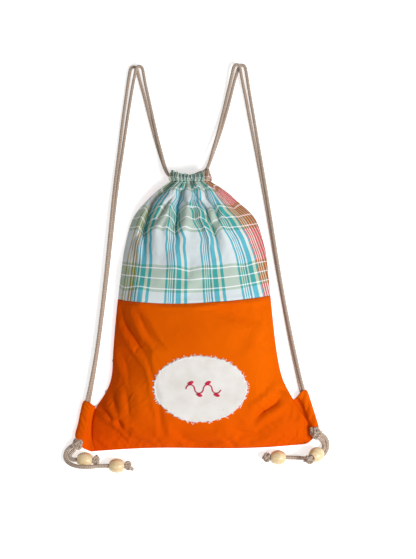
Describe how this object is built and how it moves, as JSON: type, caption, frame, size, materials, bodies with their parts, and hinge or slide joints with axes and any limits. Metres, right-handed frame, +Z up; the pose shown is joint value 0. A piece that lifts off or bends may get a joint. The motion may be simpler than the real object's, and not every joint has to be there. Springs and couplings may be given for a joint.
{
  "type": "drawstring backpack",
  "caption": "Flat cloth drawstring backpack with a gathered neck, oval patch, corner tabs and doubled cords that end in knotted, beaded tails; laid on its back.",
  "frame": {"origin": "under the middle of the sack and its tabs, on the surface that the bag lies on", "axes": "+Y towards the gathered neck, +Z up out of the surface, on the patch side; +X to the right when the front is seen upright"},
  "size_m": [0.3715, 0.5719, 0.0377],
  "materials": {
    "plaid_cloth": "plain woven cotton in pale grey with turquoise, green and cream checks",
    "orange_cloth": "plain woven cotton, matt, deep orange",
    "calico": "off-white calico with fine slubs and flecks",
    "edge_thread": "white thread, dense zigzag",
    "red_thread": "stranded red embroidery thread",
    "orange_thread": "orange sewing thread",
    "pale_thread": "pale sewing thread",
    "braided_cord": "round braided polyester cord, taupe",
    "bead_wood": "pale wood, lightly varnished"
  },
  "bodies": {
    "sack": {"back_panel": "plaid_cloth", "front_lower_panel": "orange_cloth", "front_upper_panel": "plaid_cloth", "front_channel": "plaid_cloth", "back_channel": "plaid_cloth", "front_seam_stitching": "orange_thread", "channel_stitching": "pale_thread", "oval_patch": "calico", "patch_edge_stitching": "edge_thread", "embroidered_motif": "red_thread", "left_tab": "orange_cloth", "right_tab": "orange_cloth", "left_cord_in_channel": "braided_cord", "right_cord_in_channel": "braided_cord", "left_strap_front_strand": "braided_cord", "left_strap_back_strand": "braided_cord", "right_strap_front_strand": "braided_cord", "right_strap_back_strand": "braided_cord", "left_knot": "braided_cord", "right_knot": "braided_cord", "left_short_tail": "braided_cord", "left_short_end_knot": "braided_cord", "left_long_tail": "braided_cord", "left_long_end_knot": "braided_cord", "right_short_tail": "braided_cord", "right_short_end_knot": "braided_cord", "right_long_tail": "braided_cord", "right_long_end_knot": "braided_cord"},
    "left_short_bead_body": {"left_short_bead": "bead_wood"},
    "left_long_bead_body": {"left_long_bead": "bead_wood"},
    "right_short_bead_body": {"right_short_bead": "bead_wood"},
    "right_long_bead_body": {"right_long_bead": "bead_wood"}
  },
  "joints": [
    {"name": "left_short_bead_slide", "type": "slide", "parent": "sack", "child": "left_short_bead_body", "axis": [-0.9962, 0.087, 0], "range_m": [0, 0.0025]},
    {"name": "left_long_bead_slide", "type": "slide", "parent": "sack", "child": "left_long_bead_body", "axis": [-1, 0, 0], "range_m": [0, 0.01]},
    {"name": "right_short_bead_slide", "type": "slide", "parent": "sack", "child": "right_short_bead_body", "axis": [0.6673, 0.3752, -0.6433], "range_m": [0, 0.003]},
    {"name": "right_long_bead_slide", "type": "slide", "parent": "sack", "child": "right_long_bead_body", "axis": [1, 0, 0], "range_m": [0, 0.012]}
  ]
}
